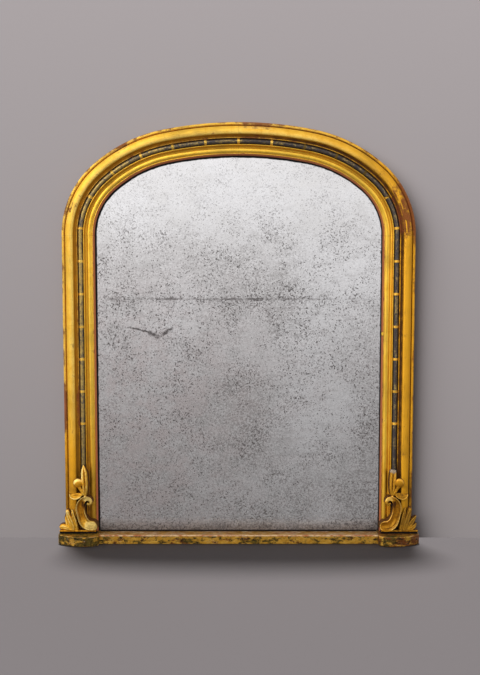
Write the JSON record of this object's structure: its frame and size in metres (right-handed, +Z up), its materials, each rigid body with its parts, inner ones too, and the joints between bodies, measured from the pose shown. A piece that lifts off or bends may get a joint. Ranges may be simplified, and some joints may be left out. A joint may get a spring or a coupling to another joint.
{
  "type": "overmantel mirror",
  "caption": "Arched gilt overmantel mirror with a banded reed moulding, low base rail, bowed plinths and carved scroll, fan and leaf corners.",
  "frame": {"origin": "middle of the outer box, on the underside of the base", "axes": "+Z up, the mirror's front faces -Y, +X to the viewer's right"},
  "size_m": [1.1, 0.106, 1.271],
  "materials": {
    "pine_subframe": "sawn pine, aged and dusty",
    "gilt_moulding": "water gilding over red-brown bole, worn",
    "gilt_slip": "water gilding with a red bole bevel and a blackened sight edge",
    "bronze_reed": "bronzed, dark and worn",
    "gilt_ties": "gilded",
    "gilt_base": "rubbed and mottled gilding over dark ground",
    "gilt_ornament": "gilded composition, worn on its high places",
    "mirror": "old silvered plate, lightly foxed",
    "pine_board": "rough pine, darkened",
    "iron_nail": "rusty iron",
    "iron_screw": "dull steel",
    "brass_strap": "tarnished brass",
    "iron_ring": "dull steel wire"
  },
  "bodies": {
    "frame": {"subframe_sill": "pine_subframe", "subframe_stile_left": "pine_subframe", "subframe_stile_right": "pine_subframe", "subframe_haunch_left": "pine_subframe", "subframe_haunch_right": "pine_subframe", "subframe_crown": "pine_subframe", "moulding_stile_left": "gilt_moulding", "moulding_haunch_left": "gilt_moulding", "moulding_shoulder_left": "gilt_moulding", "moulding_crown_left": "gilt_moulding", "moulding_stile_right": "gilt_moulding", "moulding_haunch_right": "gilt_moulding", "moulding_shoulder_right": "gilt_moulding", "moulding_crown_right": "gilt_moulding", "reed_stile_left": "bronze_reed", "reed_haunch_left": "bronze_reed", "reed_shoulder_left": "bronze_reed", "reed_crown_left": "bronze_reed", "reed_stile_right": "bronze_reed", "reed_haunch_right": "bronze_reed", "reed_shoulder_right": "bronze_reed", "reed_crown_right": "bronze_reed", "reed_ties": "gilt_ties", "slip_stile_left": "gilt_slip", "slip_haunch_left": "gilt_slip", "slip_shoulder_left": "gilt_slip", "slip_crown_left": "gilt_slip", "slip_stile_right": "gilt_slip", "slip_haunch_right": "gilt_slip", "slip_shoulder_right": "gilt_slip", "slip_crown_right": "gilt_slip", "base_rail": "gilt_base", "plinth_left": "gilt_base", "plinth_right": "gilt_base", "scroll_left": "gilt_ornament", "scroll_right": "gilt_ornament", "fan_leaf_left": "gilt_ornament", "fan_leaf_right": "gilt_ornament", "leaf_spray_left": "gilt_ornament", "leaf_spray_right": "gilt_ornament", "mirror_plate": "mirror", "glazing_blocks": "pine_subframe", "backboard_1": "pine_board", "backboard_2": "pine_board", "backboard_3": "pine_board", "backboard_4": "pine_board", "backboard_5": "pine_board", "backboard_nails": "iron_nail", "lap_screws": "iron_screw", "hanger_strap_left": "brass_strap", "hanger_strap_right": "brass_strap", "hanger_screws": "iron_screw"},
    "ring_left": {"hanger_ring_left": "iron_ring"},
    "ring_right": {"hanger_ring_right": "iron_ring"}
  },
  "joints": [
    {"name": "ring_left_hinge", "type": "hinge", "parent": "frame", "child": "ring_left", "pos_m": [-0.499, 0.04944, 0.82], "axis": [1, 0, 0], "range_deg": [0, 175]},
    {"name": "ring_right_hinge", "type": "hinge", "parent": "frame", "child": "ring_right", "pos_m": [0.499, 0.04944, 0.82], "axis": [1, 0, 0], "range_deg": [0, 175]}
  ]
}
